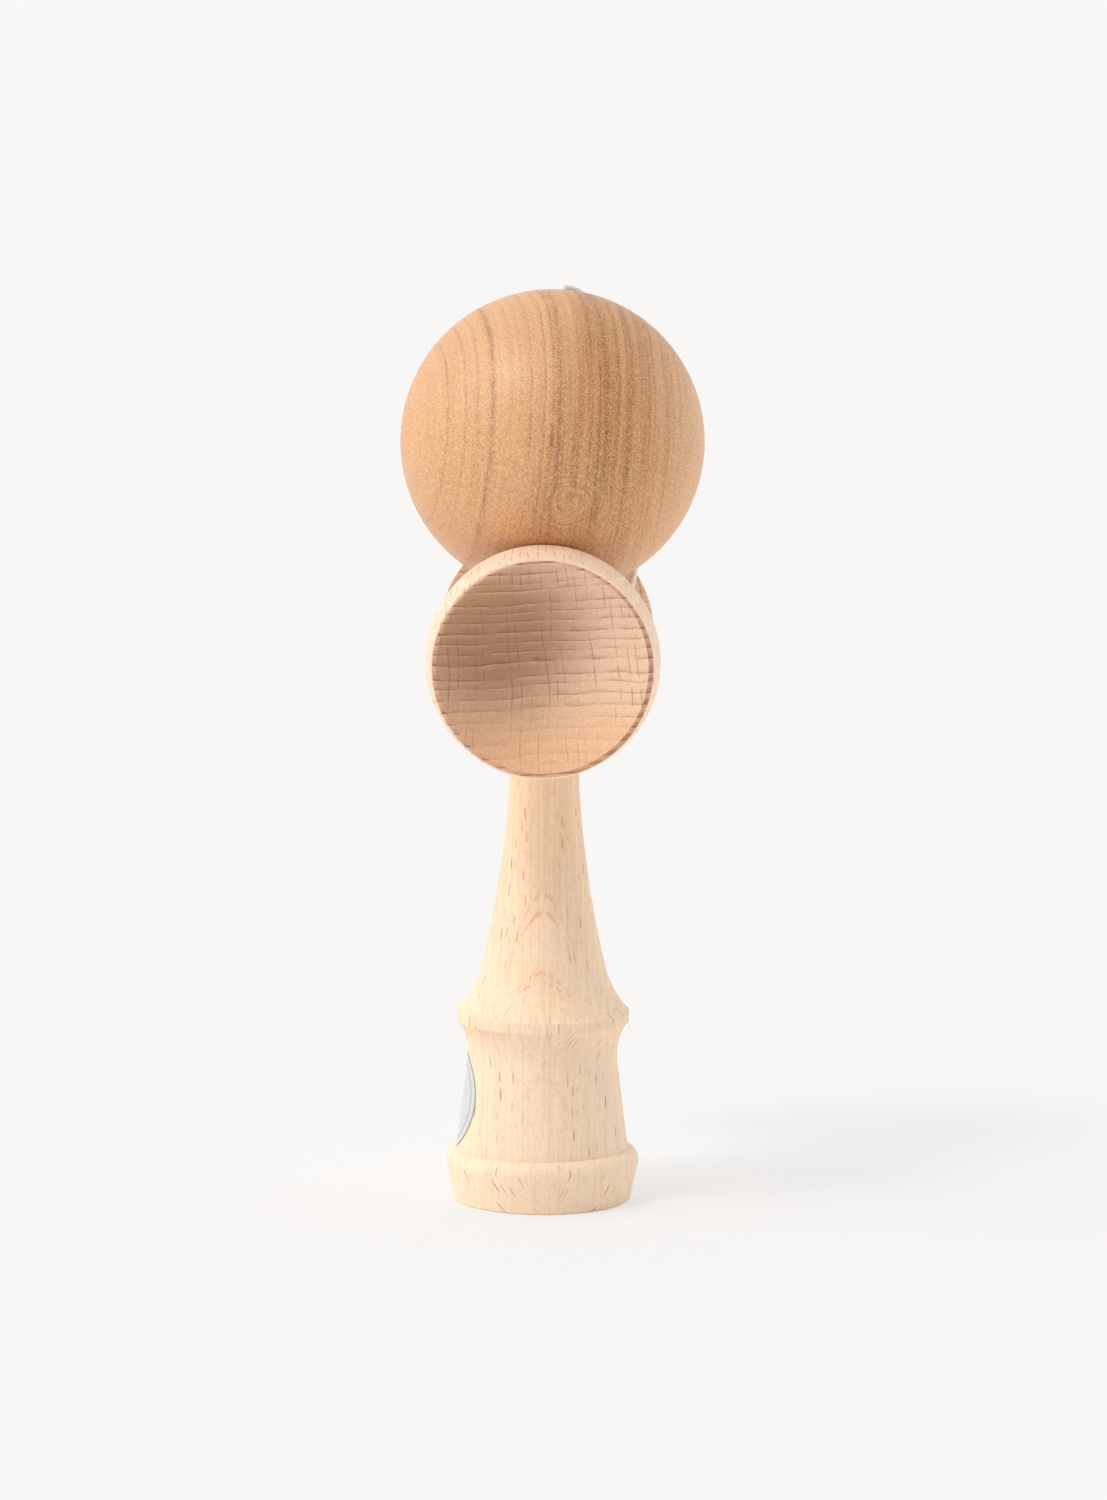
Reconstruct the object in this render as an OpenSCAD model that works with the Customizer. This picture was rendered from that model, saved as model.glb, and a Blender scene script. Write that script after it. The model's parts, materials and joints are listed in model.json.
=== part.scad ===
// Cup and ball toy: a turned handle with a spike, a double cup piece on its taper,
// and a drilled ball held by a string.
// The handle stands along +Z on its base ring, whose centre is the origin.
// The cup piece lies along Y with the big cup towards -Y; the string hole is on its +X side.

/* [Ball] */
// Diameter of the ball
ball_d = 60; // [50:1:75]
// Diameter of the hole that takes the spike
ball_hole_d = 21; // [18:0.5:24]
// Width of the bevel round the mouth of the hole
mouth_bevel = 0.8; // [0.3:0.1:1.5]
// Clearance round the string in the hole through the top of the ball
ball_string_gap = 0.85; // [0.6:0.05:1.2]
// Width of the countersink round the string hole
countersink_w = 1; // [0.8:0.1:1.6]
// Depth of the countersink
countersink_depth = 1.4; // [0.8:0.1:2.5]
// How far the ball has settled sideways, towards +X
ball_side = 1.3; // [0:0.1:1.5]
// How far the ball has settled back, towards the small cup
ball_back = 0.5; // [0:0.1:1]
// Lean of the ball's hole towards +X, in degrees
lean_side = 2.5; // [0:0.5:4]
// Gap left between the spike and the mouth of the hole, which has leaned back towards it
lean_gap = 0.9; // [0.5:0.1:3]
// Gap between the ball and the shoulders it sits on
ball_gap = 0.25; // [0.2:0.05:0.6]

/* [Handle] */
// Length of the handle, from its base to the tip of the spike
handle_len = 156; // [146:1:166]
// Diameter of the ring that the handle stands on
base_rim_d = 35.4; // [34:0.2:38]
// Rounding of the base's outer bottom edge
base_edge = 0.6; // [0.2:0.1:1]
// Largest diameter of the base
base_d = 38.5; // [36.5:0.5:42]
// Height of the base's widest line
base_wide_z = 7.8; // [5:0.2:9]
// Height of the base's rounded top
base_top_z = 10.5; // [9.2:0.1:12]
// Width of the flat ring round the dish under the base
base_flat_w = 0.9; // [0.6:0.1:2]
// Depth of the dish under the base
base_dish_depth = 7; // [4:0.5:9]
// Diameter of the grip just above the base
grip_foot_d = 34.1; // [32:0.1:35]
// Diameter of the grip where its waist begins
grip_waist_d = 30; // [27:0.5:31.5]
// Height where the grip's waist begins
grip_waist_z = 27; // [24:0.5:29]
// Diameter of the ring above the grip
ring_d = 34.4; // [32.5:0.1:37]
// Height of the ring's lower edge
ring_z = 35.9; // [33:0.1:37]
// Thickness of the ring
ring_h = 2.5; // [1.5:0.1:3.5]
// Rounding of the ring's edges
ring_edge = 0.35; // [0.1:0.05:0.6]
// Diameter where the flare above the ring turns into the neck
flare_d = 25.3; // [22:0.1:28]
// Height where the flare turns into the neck
flare_z = 46; // [43:0.5:50]
// Diameter of the neck where its straight taper begins
neck_d = 13.7; // [12.5:0.1:14.5]
// Length of the straight neck below the cup piece
neck_len = 14.3; // [13:0.1:20]
// Diameter of the spike at its tip
tip_d = 7.6; // [6:0.1:9]
// Rounding of the spike's tip
tip_edge = 1.6; // [0.6:0.1:2.5]

/* [Cup piece] */
// Length of the cup piece, rim to rim
cups_len = 70; // [68:0.5:76]
// Height of the cup piece's axis on the handle
cups_z = 111.1; // [109:0.1:113]
// Diameter of the cup piece's waist
waist_d = 21.6; // [20.8:0.1:22]
// Length of the straight waist
waist_len = 12; // [8:0.5:14]
// Largest diameter of the big cup
big_d = 45.7; // [43:0.1:48]
// Depth of the big cup's bowl
big_bowl_depth = 9; // [6:0.5:12]
// Largest diameter of the small cup
small_d = 43.2; // [41:0.1:45]
// Depth of the small cup's bowl
small_bowl_depth = 8.5; // [6:0.5:12]
// Length of each cup's outer band, from its rim to its shoulder
band_len = 10.5; // [9:0.1:12]
// How far each rim is drawn in from its shoulder
band_in = 1.25; // [0.5:0.05:2.5]
// Rounding of each cup's shoulder
shoulder_edge = 1; // [0.5:0.1:1.5]
// Rounding of each rim's outer edge
rim_edge = 0.35; // [0.1:0.05:0.5]
// Width of the flat lip inside each rim
lip_w = 0.7; // [0.4:0.1:1.5]
// Clearance of the tapered seat on the handle
seat_gap = 0.05; // [0.02:0.01:0.1]
// Clearance round the string in the side of the waist
cups_string_gap = 0.55; // [0.3:0.05:0.7]
// Clearance round the knot in its pocket
pocket_gap = 0.5; // [0.3:0.05:0.8]
// Gap between the knot and the handle
anchor_gap = 0.3; // [0.2:0.05:0.5]

/* [String] */
// Diameter of the string
string_d = 1.3; // [1:0.1:1.5]
// Diameter of the stopper knots
knot_d = 2.8; // [2.5:0.1:2.9]
// Turns of spare string wound on the neck
turns = 5; // [3:1:5]
// Step from one turn to the next
turn_pitch = 1.8; // [1.8:0.05:2]
// Drop from the underside of the waist to the top turn
turn_drop = 2.7; // [2.4:0.1:3.2]
// Gap between the turns and the neck
turn_gap = 0.12; // [0.1:0.01:0.2]
// Bend of the string where it leaves the ball
string_bend = 2.6; // [2.6:0.1:3]
// Gap inside the ball's string hole, where the ball's lift parts the string's stretches
string_part_gap = 0.4; // [0.3:0.05:0.8]

/* [Bead] */
// Diameter of the bead
bead_d = 8.4; // [7:0.1:10]
// Length of the bead
bead_len = 6; // [4:0.5:7]
// Clearance round the string in the bead
bead_bore_gap = 0.2; // [0.1:0.05:0.4]
// Gap between the tip of the spike and the knot under the bead
tip_gap = 3.2; // [1.5:0.1:6]
// Gap between the bead and the end of the ball's hole
bead_gap = 0.2; // [0.1:0.05:0.4]

/* [Seal] */
// Width of the foil seal across the grip
seal_w = 17.4; // [10:0.2:20]
// Height of the foil seal
seal_h = 18.6; // [10:0.2:20]
// Height of the seal's lower edge over the base
seal_up = 0.2; // [0.1:0.1:1]
// Direction that the seal faces, in degrees from +X towards +Y
seal_angle = 180; // [0:1:360]
// Thickness of the foil
seal_t = 0.15; // [0.1:0.01:0.25]
// Gap of glue under the foil
seal_glue = 0.02; // [0.01:0.01:0.04]

/* [Hidden] */
$fn = 96;
curve_steps = 16;
arc_steps = 6;
dish_steps = 28;
oval_steps = 48;
tube_sides = 8;
turn_sides = 6;
turn_rings = 24;
cut = 1;
beech = [0.93, 0.82, 0.66];
end_beech = [0.86, 0.70, 0.52];
cherry = [0.80, 0.58, 0.39];
foil = [0.84, 0.84, 0.82];
white = [0.95, 0.94, 0.91];

// Slopes of the turned curves, as control points measured along and out from their ends
grip_pull = [0.5, 3.5];
ring_pull = [2.1, 2.7];
flare_top_pull = [1.6, 1.4];
flare_foot_pull = [0.7, 2.9];
neck_foot_pull = [3.26, 13.3];
neck_top_pull = 13.3;
flank_foot_pull = 8;
flank_top_pull = 8;
flank_angle = 60;

ball_r = ball_d / 2;
string_r = string_d / 2;
base_dish_r = base_rim_d / 2 - base_edge - base_flat_w;
seal_z = base_top_z + seal_up + seal_h / 2;

// The handle's straight taper, from the neck through the cup piece to the tip
neck_z = cups_z - waist_d / 2 - neck_len;
taper = (neck_d - tip_d) / 2 / (handle_len - neck_z);
function handle_r(z) = neck_d / 2 - taper * (z - neck_z);

// Height of the ball over the cup piece's axis, resting on a shoulder dy away along Y
shoulder_y = cups_len / 2 - band_len;
function seat_h(cup_d, dy) = cup_d / 2 - shoulder_edge
    + sqrt(pow(ball_r + shoulder_edge + ball_gap, 2) - dy * dy - ball_side * ball_side);
ball_z = cups_z + max(seat_h(big_d, shoulder_y + ball_back), seat_h(small_d, shoulder_y - ball_back));
ball_c = [ball_side, ball_back, ball_z];

// The ball's hole leans back until its mouth is near the spike
mouth_z = sqrt(ball_r * ball_r - ball_hole_d * ball_hole_d / 4);
lean_back = asin((ball_hole_d / 2 - handle_r(ball_z - mouth_z) - lean_gap + ball_back) / mouth_z);
ball_axis = [sin(lean_side), sin(lean_back), sqrt(1 - pow(sin(lean_side), 2) - pow(sin(lean_back), 2))];
ball_tilt = acos(ball_axis.z);
ball_turn = atan2(ball_axis.y, ball_axis.x);

// Places along the ball's own axis, from its centre
knot_z = handle_len - ball_z + tip_gap + knot_d / 2;
bead_bottom = knot_z + knot_d / 2;
hole_end = bead_bottom + bead_len + bead_gap;
ball_string_hole_d = string_d + 2 * ball_string_gap;
bend_z = ball_r + string_r + bead_gap - string_bend;

// The knot's pocket in the waist, from the handle outwards
anchor_x = handle_r(cups_z) + anchor_gap + knot_d / 2;
pocket_x = anchor_x + knot_d / 2;

// The winding on the neck, turning from +X towards +Y as it goes down
turn_top_z = cups_z - waist_d / 2 - turn_drop;
function turn_r(z) = handle_r(z) + turn_gap + string_r;
function turn_point(a) = let (z = turn_top_z - turn_pitch * a / 360)
    [turn_r(z) * cos(a), turn_r(z) * sin(a), z];
winding_start = turn_point(0) - [0, string_d, 0];
winding_end = turn_point(360 * turns) + [0, string_d, 0];
winding_path = concat([winding_start],
    [for (i = [0 : turns * turn_rings]) turn_point(i * 360 / turn_rings)], [winding_end]);

// The string from the hole in the waist down to the winding
root_points = [[13.5, 0, 111.1], [15.1, -0.3, 110.3], [15.9, -1.2, 108.4], [15.7, -2.5, 106.2],
    [14.8, -3.9, 104.1], [13.3, -5.1, 102.1], [11.6, -5.7, 100.3], [9.9, -5.2, 98.9],
    [8.4, -3.6, 97.9]];
root_path = concat([[pocket_x, 0, cups_z], [waist_d / 2, 0, cups_z]], root_points, [winding_start]);

// The string from the winding up past the waist and round the back of the ball
rise_points = [[7.9, 4.2, 88.7], [8.6, 6.6, 89.8], [9.6, 8, 92], [10.6, 8.5, 94.8], [11.6, 8.3, 98],
    [12.6, 7.6, 101.4], [13.5, 6.9, 105], [14.3, 6.5, 109], [15.1, 6.9, 113], [16, 8.2, 117.5],
    [17, 10.2, 122], [18, 12.8, 126], [18.6, 15.6, 129.6], [18.9, 18.6, 133], [19, 21.4, 136.5],
    [19.1, 23.6, 140.2], [19.1, 25, 144], [18.8, 26, 148], [18.4, 26.6, 152], [17.8, 26.5, 156],
    [17, 26, 160], [15.8, 25, 164], [14.5, 23.6, 167.6], [13, 21.6, 171], [11.2, 19.2, 174.4],
    [9.2, 16.4, 177.4], [7.2, 13.4, 179.6], [5.4, 10.4, 181]];

// The bend into the ball's string hole, in the plane of the ball's axis and the string's heading
heading_angle = 62;
heading = [cos(heading_angle), sin(heading_angle), 0];
side_way = heading - (heading * ball_axis) * ball_axis;
across = side_way / norm(side_way);
bend_steps = [75, 50, 25, 0];
bend_points = [for (a = bend_steps) ball_c + (bend_z + string_bend * sin(a)) * ball_axis
    + string_bend * (1 - cos(a)) * across];
rise_path = concat([winding_end], rise_points, bend_points);

// Least gap between points of the winding more than half a turn apart
winding_last = len(winding_path) - 1;
winding_gap = min([for (i = [0 : winding_last], j = [i + turn_rings / 2 : 1 : winding_last])
    norm(winding_path[i] - winding_path[j])]) - string_d;
echo(least_gap_of_winding_mm = winding_gap);

function path_length(p) = len(p) < 2 ? 0
    : [for (i = 1, s = norm(p[1] - p[0]); i < len(p);
        s = s + (i + 1 < len(p) ? norm(p[i + 1] - p[i]) : 0), i = i + 1) s][len(p) - 2];
echo(free_string_mm = path_length(root_path) + path_length(winding_path) + path_length(rise_path));

// Points on a cubic curve between two ends, and on an arc of a circle
function curve(a, b, c, d, n = curve_steps) = [for (i = [0 : n]) let (t = i / n, s = 1 - t)
    s * s * s * a + 3 * s * s * t * b + 3 * s * t * t * c + t * t * t * d];
function arc(c, r, from, to, n = arc_steps) = [for (i = [0 : n]) let (a = from + (to - from) * i / n)
    c + r * [cos(a), sin(a)]];
// Points down a round dish, from its mouth at height z to its deepest point; way is +1 or -1
function dish(mouth_r, depth, z, way) = let (r = (mouth_r * mouth_r + depth * depth) / (2 * depth),
        half = asin(mouth_r / r))
    [for (i = [0 : dish_steps]) let (a = half * (1 - i / dish_steps))
        [r * sin(a), z - way * (depth - r + r * cos(a))]];

// A tube swept along a path, with its rings turned least from one to the next
function unit(v) = v / norm(v);
function way_at(p, i) = unit(p[min(i + 1, len(p) - 1)] - p[max(i - 1, 0)]);
function square_to(v, w) = unit(v - (v * w) * w);
function first_side(w) = square_to(abs(w.z) < 0.8 ? [0, 0, 1] : [1, 0, 0], w);
function sides_along(p) = [for (i = 0, s = first_side(way_at(p, 0)); i < len(p);
    i = i + 1, s = i < len(p) ? square_to(s, way_at(p, i)) : s) s];
module tube(path, r, sides) {
    side = sides_along(path);
    n = len(path);
    rings = [for (i = [0 : n - 1], k = [0 : sides - 1])
        let (w = way_at(path, i), u = side[i], v = cross(w, u), a = 360 * k / sides)
        path[i] + r * (cos(a) * u + sin(a) * v)];
    walls = [for (i = [0 : n - 2], k = [0 : sides - 1])
        let (a = i * sides + k, b = i * sides + (k + 1) % sides)
        each [[a, a + sides, b], [b, a + sides, b + sides]]];
    first_cap = [for (k = [1 : sides - 2]) [0, k, k + 1]];
    last = (n - 1) * sides;
    last_cap = [for (k = [1 : sides - 2]) [last, last + k + 1, last + k]];
    polyhedron(rings, concat(walls, first_cap, last_cap));
}

// Half outline of the handle, from the dish under its base to the tip
base_r = base_d / 2;
base_rim_r = base_rim_d / 2;
ring_r = ring_d / 2;
ring_top = ring_z + ring_h;
tip_slope = atan(taper);
grip_outline = concat([[grip_foot_d / 2, base_top_z]],
    curve([grip_waist_d / 2, grip_waist_z], [grip_waist_d / 2 - grip_pull.x, grip_waist_z + grip_pull.y],
          [ring_r - ring_pull.x, ring_z - ring_pull.y], [ring_r - ring_edge, ring_z]));
handle_outline = concat(
    [[0, 0]],
    arc([base_rim_r - base_edge, base_edge], base_edge, -90, 0),
    [for (i = [0 : curve_steps - 1]) let (a = 90 * i / curve_steps)
        [grip_foot_d / 2 + (base_r - grip_foot_d / 2) * cos(a),
         base_wide_z + (base_top_z - base_wide_z) * sin(a)]],
    grip_outline,
    arc([ring_r - ring_edge, ring_z + ring_edge], ring_edge, -60, 0),
    arc([ring_r - ring_edge, ring_top - ring_edge], ring_edge, 0, 45),
    curve([ring_r - ring_edge, ring_top], [ring_r - flare_top_pull.x, ring_top + flare_top_pull.y],
          [flare_d / 2 + flare_foot_pull.x, flare_z - flare_foot_pull.y], [flare_d / 2, flare_z]),
    curve([flare_d / 2, flare_z], [flare_d / 2 - neck_foot_pull.x, flare_z + neck_foot_pull.y],
          [handle_r(neck_z - neck_top_pull), neck_z - neck_top_pull], [neck_d / 2, neck_z]),
    arc([handle_r(handle_len - tip_edge) - tip_edge, handle_len - tip_edge], tip_edge, tip_slope, 90),
    [[0, handle_len]]);

module handle() {
    color(beech)
    difference() {
        rotate_extrude() polygon(handle_outline);
        rotate_extrude()
        polygon(concat([[0, -cut], [base_dish_r, -cut]], dish(base_dish_r, base_dish_depth, 0, -1)));
    }
}

// Half outline of one cup along the cup piece's axis, from the middle of the waist to its bowl
function cup_outline(cup_d, bowl_depth) = let (
        shoulder_c = [cup_d / 2 - shoulder_edge, shoulder_y],
        rim_y = cups_len / 2,
        rim_r = cup_d / 2 - band_in,
        bowl_r = rim_r - rim_edge - lip_w,
        band_angle = atan(band_in / band_len),
        flank_end = shoulder_c + shoulder_edge * [cos(flank_angle), -sin(flank_angle)],
        waist_end = [waist_d / 2, waist_len / 2])
    concat(
        curve(waist_end, waist_end + [0, flank_foot_pull],
              flank_end - flank_top_pull * [sin(flank_angle), cos(flank_angle)], flank_end),
        arc(shoulder_c, shoulder_edge, -flank_angle, band_angle),
        arc([rim_r - rim_edge, rim_y - rim_edge], rim_edge, band_angle, 90),
        dish(bowl_r, bowl_depth, rim_y, 1));
function flipped(p) = [for (i = [len(p) - 1 : -1 : 0]) [p[i].x, -p[i].y]];

module cup_piece() {
    color(end_beech)
    translate([0, 0, cups_z])
    difference() {
        rotate([90, 0, 0])
        rotate_extrude()
        polygon(concat(flipped(cup_outline(small_d, small_bowl_depth)),
                       cup_outline(big_d, big_bowl_depth)));
        translate([0, 0, -waist_d])
        cylinder(r1 = handle_r(cups_z - waist_d) + seat_gap, r2 = handle_r(cups_z + waist_d) + seat_gap,
                 h = 2 * waist_d);
        rotate([0, 90, 0]) cylinder(d = string_d + 2 * cups_string_gap, h = waist_d);
        rotate([0, 90, 0]) cylinder(d = knot_d + 2 * pocket_gap, h = pocket_x);
    }
}

// Puts what is drawn along Z on the ball's own leaning axis
module on_ball() {
    translate(ball_c) rotate([0, 0, ball_turn]) rotate([0, ball_tilt, 0]) children();
}

module ball() {
    color(cherry)
    on_ball()
    difference() {
        sphere(d = ball_d);
        translate([0, 0, -ball_r - cut]) cylinder(d = ball_hole_d, h = ball_r + hole_end + cut);
        translate([0, 0, -mouth_z - cut])
        cylinder(r1 = ball_hole_d / 2 + mouth_bevel + cut, r2 = ball_hole_d / 2, h = mouth_bevel + cut);
        cylinder(d = ball_string_hole_d, h = ball_d);
        translate([0, 0, ball_r - countersink_depth])
        cylinder(d1 = ball_string_hole_d, d2 = ball_string_hole_d + 2 * countersink_w,
                 h = countersink_depth);
    }
}

module bead() {
    color(cherry)
    on_ball()
    translate([0, 0, bead_bottom + bead_len / 2])
    difference() {
        intersection() {
            sphere(d = bead_d);
            cylinder(d = bead_d + cut, h = bead_len, center = true);
        }
        cylinder(d = string_d + 2 * bead_bore_gap, h = bead_d, center = true);
    }
}

// Foil over the grip: a thin shell of the grip's own outline, cut to an oval
module seal() {
    oval = [for (i = [0 : oval_steps - 1]) let (a = 360 * i / oval_steps)
        [seal_h / 2 * cos(a), seal_w / 2 * sin(a)]];
    inner = [for (p = grip_outline) p + [seal_glue, 0]];
    outer = [for (i = [len(inner) - 1 : -1 : 0]) inner[i] + [seal_t, 0]];
    color(foil)
    rotate([0, 0, seal_angle])
    intersection() {
        rotate_extrude() polygon(concat(inner, outer));
        translate([0, 0, seal_z]) rotate([0, -90, 180]) linear_extrude(base_d) polygon(oval);
    }
}

module anchor_knot() {
    color(white) translate([anchor_x, 0, cups_z]) sphere(d = knot_d);
}

module bead_knot() {
    color(white) on_ball() translate([0, 0, knot_z]) sphere(d = knot_d);
}

module string_root() {
    color(white) tube(root_path, string_r, tube_sides);
}

module string_winding() {
    color(white) tube(winding_path, string_r, turn_sides);
}

module string_rise() {
    color(white) tube(rise_path, string_r, tube_sides);
}

module string_in_ball() {
    color(white)
    on_ball()
    translate([0, 0, bead_bottom])
    cylinder(d = string_d, h = bend_z - string_part_gap - bead_bottom);
}

handle();
cup_piece();
ball();
bead();
seal();
anchor_knot();
bead_knot();
string_root();
string_winding();
string_rise();
string_in_ball();
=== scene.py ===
# %% [markdown]
# # A cup and ball toy in a white studio
#
# The toy is three turned pieces of wood, a string, a bead and a foil seal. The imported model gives
# every solid at its true place and size, so this lesson dresses it: it sets up the photograph's
# camera, twists a real string along its route, and grows the grain of each piece of wood from the
# log that it was cut from. Lengths are in millimetres, and MM turns them into metres.

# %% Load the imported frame
import json
from math import ceil, cos, pi, radians, sin

import bmesh
import bpy
from mathutils import Matrix, Vector


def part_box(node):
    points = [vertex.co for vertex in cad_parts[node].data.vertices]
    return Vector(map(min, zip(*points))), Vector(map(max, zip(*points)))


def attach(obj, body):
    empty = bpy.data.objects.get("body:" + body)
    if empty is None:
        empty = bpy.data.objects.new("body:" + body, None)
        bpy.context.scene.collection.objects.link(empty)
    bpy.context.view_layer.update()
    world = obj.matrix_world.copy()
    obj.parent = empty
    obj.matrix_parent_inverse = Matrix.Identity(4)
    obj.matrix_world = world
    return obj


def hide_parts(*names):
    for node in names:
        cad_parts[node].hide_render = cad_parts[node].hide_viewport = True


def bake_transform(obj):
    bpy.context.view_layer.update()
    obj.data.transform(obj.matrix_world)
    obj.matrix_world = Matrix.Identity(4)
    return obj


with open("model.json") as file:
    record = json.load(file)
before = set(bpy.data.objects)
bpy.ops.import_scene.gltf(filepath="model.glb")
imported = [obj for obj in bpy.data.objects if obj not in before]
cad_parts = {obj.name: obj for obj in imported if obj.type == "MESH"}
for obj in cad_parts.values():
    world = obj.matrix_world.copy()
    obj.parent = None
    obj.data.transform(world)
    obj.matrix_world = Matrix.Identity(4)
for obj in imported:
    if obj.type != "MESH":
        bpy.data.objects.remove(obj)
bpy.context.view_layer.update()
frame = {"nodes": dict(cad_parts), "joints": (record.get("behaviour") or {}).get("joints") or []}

MM = 0.001
nodes = frame["nodes"]
joints = {joint["name"]: joint for joint in frame["joints"]}
ball_centre = Vector(joints["ball_spin"]["pos_m"]) / MM
ball_axis = Vector(joints["ball_spin"]["axis"]).normalized()
print(len(nodes), "nodes; the ball's centre is at", [round(c, 2) for c in ball_centre], "mm")

# %% [markdown]
# ## The camera
#
# The photograph was taken with a long lens, a little above the cups and almost square to the big
# one. A long lens is a narrow angle of view, so the focal length is given in the photograph's own
# pixels and turned into a lens for a 36 mm sensor along the frame's long side. The small yaw and
# roll stand for a camera that was not quite level on its tripod.

# %% Camera
PHOTO_HEIGHT_PX, FOCAL_PX = 1500, 6622
SENSOR = 36
CAMERA_AWAY, CAMERA_UP = 1300, 274
CAMERA_ROUND, CAMERA_PITCH = radians(0.8), radians(8.04)
CAMERA_YAW, CAMERA_ROLL = radians(0.08), radians(0.3)


def in_scene(name, data):
    """A new object that holds this data, linked to the scene."""
    made = bpy.data.objects.new(name, data)
    bpy.context.scene.collection.objects.link(made)
    return made


lens = bpy.data.cameras.new("photo_camera")
lens.sensor_width = SENSOR
lens.lens = FOCAL_PX / PHOTO_HEIGHT_PX * SENSOR
camera = in_scene("photo_camera", lens)
back = Vector((sin(CAMERA_ROUND), -cos(CAMERA_ROUND), 0))
stand = (CAMERA_AWAY * back + Vector((0, 0, CAMERA_UP))) * MM
turn = (
    Matrix.Rotation(CAMERA_ROUND - CAMERA_YAW, 4, "Z")
    @ Matrix.Rotation(pi / 2 - CAMERA_PITCH, 4, "X")
    @ Matrix.Rotation(CAMERA_ROLL, 4, "Z")
)
camera.matrix_world = Matrix.Translation(stand) @ turn
bpy.context.scene.camera = camera
bpy.context.scene.view_settings.view_transform = "Standard"
print("camera", [round(c, 3) for c in stand], "m, lens", round(lens.lens, 1), "mm")

# %% [markdown]
# ## The string's route
#
# The string is knotted in a pocket inside the cup piece. It leaves the waist by a small hole, is
# wound five times round the neck to take up its slack, climbs behind the cup and the ball, and
# dives into the hole at the top of the ball, where a knot under a bead holds it. A simulation
# could drop it there, but would not lay it where the photograph shows it. So the winding is a
# helix on the tapered neck, the bend at the ball is an arc, and the loose stretches are listed
# points.

# %% Winding on the neck
STRING_D = 1.3
NECK_R, NECK_Z, TAPER = 6.85, 86, 0.0436
TURN_TOP, TURN_PITCH, TURN_GAP = 97.6, 1.8, 0.12
TURNS, TURN_STEPS = 5, 24


def turn_point(angle):
    z = TURN_TOP - TURN_PITCH * angle / (2 * pi)
    r = NECK_R - TAPER * (z - NECK_Z) + TURN_GAP + STRING_D / 2
    return Vector((r * cos(angle), r * sin(angle), z))


winding = [turn_point(2 * pi * i / TURN_STEPS) for i in range(TURNS * TURN_STEPS + 1)]
print("winding:", TURNS, "turns down to", round(winding[-1].z, 1), "mm")

# %% Over the mouth of the ball's string hole and down to the knot
BALL_R, MOUTH_GAP = 30, 0.2
BEND, HEADING, BEND_STEPS = 2.6, radians(62), (75, 50, 25, 0)
IN_BALL_SHARES = (0.15, 0.5, 1)


def box_middle(node):
    low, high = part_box(node)
    return (low + high) / 2 / MM


bead_knot = box_middle("bead_knot")
heading = Vector((cos(HEADING), sin(HEADING), 0))
across = (heading - heading.dot(ball_axis) * ball_axis).normalized()
bend_up = BALL_R + STRING_D / 2 + MOUTH_GAP - BEND
bend = [
    ball_centre + (bend_up + BEND * sin(a)) * ball_axis + BEND * (1 - cos(a)) * across
    for a in map(radians, BEND_STEPS)
]
in_ball = [bend[-1].lerp(bead_knot, share) for share in IN_BALL_SHARES]
print("string in the ball:", round((in_ball[-1] - bend[-1]).length, 1), "mm down to its knot")

# %% Loose stretches and the whole route
WAIST_R = 10.8
ROOT_POINTS = [
    (13.5, 0, 111.1), (15.1, -0.3, 110.3), (15.9, -1.2, 108.4), (15.7, -2.5, 106.2),
    (14.8, -3.9, 104.1), (13.3, -5.1, 102.1), (11.6, -5.7, 100.3), (9.9, -5.2, 98.9),
    (8.4, -3.6, 97.9),
]
RISE_POINTS = [
    (7.9, 4.2, 88.7), (8.6, 6.6, 89.8), (9.6, 8, 92), (10.6, 8.5, 94.8), (11.6, 8.3, 98),
    (12.6, 7.6, 101.4), (13.5, 6.9, 105), (14.3, 6.5, 109), (15.1, 6.9, 113), (16, 8.2, 117.5),
    (17, 10.2, 122), (18, 12.8, 126), (18.6, 15.6, 129.6), (18.9, 18.6, 133), (19, 21.4, 136.5),
    (19.1, 23.6, 140.2), (19.1, 25, 144), (18.8, 26, 148), (18.4, 26.6, 152), (17.8, 26.5, 156),
    (17, 26, 160), (15.8, 25, 164), (14.5, 23.6, 167.6), (13, 21.6, 171), (11.2, 19.2, 174.4),
    (9.2, 16.4, 177.4), (7.2, 13.4, 179.6), (5.4, 10.4, 181),
]

anchor = box_middle("anchor_knot")
hole_mouth = Vector((WAIST_R, 0, anchor.z))
lead = Vector((0, STRING_D, 0))
route = [anchor, hole_mouth, *map(Vector, ROOT_POINTS)]
route += [winding[0] - lead, *winding, winding[-1] + lead]
route += [*map(Vector, RISE_POINTS), *bend, *in_ball]
print("string route:", len(route), "points")

# %% [markdown]
# ## A twisted string
#
# Kite string and toy string are laid, not smooth: three strands are twisted together, so the
# section is a three-lobed shape that turns as it goes. A curve with a round bevel would lose that.
# Here a smooth line is run through the route's points, rings are set along it at equal steps, each
# turned least from the one before, and the lobes are twisted once every few millimetres.

# %% A smooth line through points
def smooth_line(points, step):
    """Points at about equal steps on a smooth cubic curve through the given ones."""
    line = []
    last = len(points) - 1
    for i in range(last):
        a, b, c, d = points[max(i - 1, 0)], points[i], points[i + 1], points[min(i + 2, last)]
        straight = c - a
        bow = 2 * a - 5 * b + 4 * c - d
        swing = 3 * b - 3 * c + d - a
        pieces = max(1, ceil((c - b).length / step))
        for t in (k / pieces for k in range(pieces)):
            line.append(0.5 * (2 * b + straight * t + bow * t**2 + swing * t**3))
    return line + [points[-1]]


STEP = 0.35
string_line = smooth_line(route, STEP)
string_length = sum((b - a).length for a, b in zip(string_line, string_line[1:]))
print("string:", round(string_length, 1), "mm long")

# %% A laid section swept along a line
STRANDS, LAY, GROOVE, LOBE = 3, 4.6, 0.24, 0.8
RING_SIDES = 24


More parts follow.
